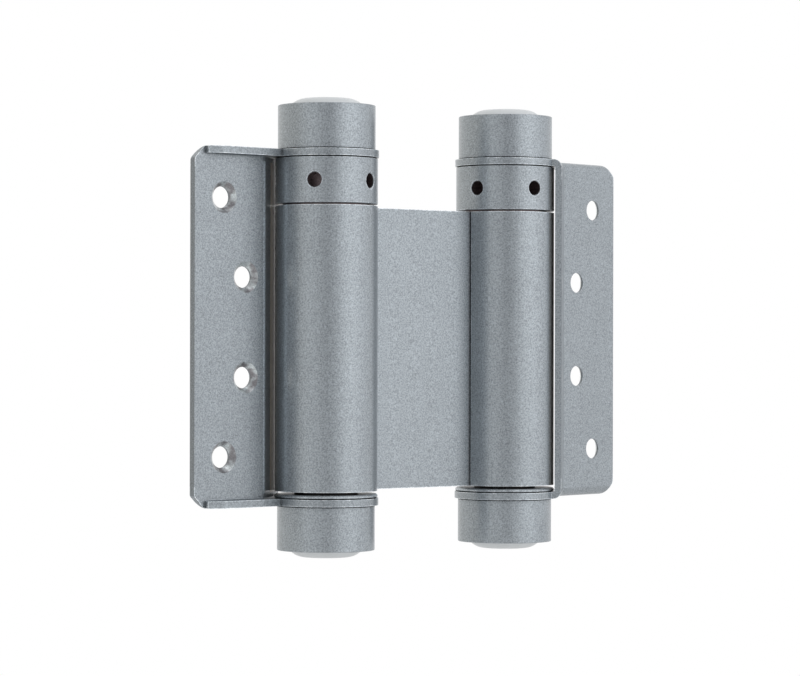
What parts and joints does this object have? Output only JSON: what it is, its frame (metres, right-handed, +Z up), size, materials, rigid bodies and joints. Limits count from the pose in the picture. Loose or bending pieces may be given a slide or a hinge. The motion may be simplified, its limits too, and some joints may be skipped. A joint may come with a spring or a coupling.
{
  "type": "double action spring hinge",
  "caption": "Double action spring hinge: spring barrels rolled from a centre leaf, each with a cranked screw leaf, drilled tension collar and plugged end caps.",
  "frame": {"origin": "middle of the frame leaf's four screw holes, on its back face, which lies on the door frame", "axes": "+Y out of the frame leaf's back face towards the door frame, +Z up along the spindles, +X from the frame leaf towards the two barrels and the door leaf"},
  "size_m": [0.1539, 0.036, 0.1294],
  "materials": {
    "paint": "silver flake lacquer, satin",
    "collar_paint": "silver flake lacquer, satin",
    "cap_paint": "silver flake lacquer, satin",
    "plug": "pale moulded plastic, satin",
    "steel": "bright zinc",
    "spring_steel": "oiled spring steel"
  },
  "bodies": {
    "frame_side": {"frame_leaf": "paint", "frame_top_cap": "cap_paint", "frame_bottom_cap": "cap_paint", "frame_top_plug": "plug", "frame_bottom_plug": "plug", "frame_spindle": "steel", "frame_top_nut": "steel", "frame_bottom_nut": "steel", "frame_thrust_washer": "cap_paint"},
    "centre": {"centre_leaf": "paint", "frame_spring": "spring_steel", "frame_spring_anchor": "steel", "door_spring": "spring_steel", "door_spring_anchor": "steel"},
    "door_side": {"door_leaf": "paint", "door_top_cap": "cap_paint", "door_bottom_cap": "cap_paint", "door_top_plug": "plug", "door_bottom_plug": "plug", "door_spindle": "steel", "door_top_nut": "steel", "door_bottom_nut": "steel", "door_thrust_washer": "cap_paint"},
    "frame_collar_ring": {"frame_collar": "collar_paint"},
    "door_collar_ring": {"door_collar": "collar_paint"}
  },
  "joints": [
    {"name": "frame_hinge", "type": "hinge", "parent": "frame_side", "child": "centre", "pos_m": [0.0289, -0.0075, 0], "axis": [0, 0, 1], "range_deg": [-176.7, 3.3]},
    {"name": "door_hinge", "type": "hinge", "parent": "centre", "child": "door_side", "pos_m": [0.09579, -0.01136, 0], "axis": [0, 0, 1], "range_deg": [-9.8, 170.2]},
    {"name": "frame_winding", "type": "hinge", "parent": "frame_side", "child": "frame_collar_ring", "pos_m": [0.0289, -0.0075, 0], "axis": [0, 0, 1], "range_deg": [-216, 0]},
    {"name": "door_winding", "type": "hinge", "parent": "door_side", "child": "door_collar_ring", "pos_m": [0.09579, -0.01136, 0], "axis": [0, 0, 1], "range_deg": [-216, 0]}
  ]
}
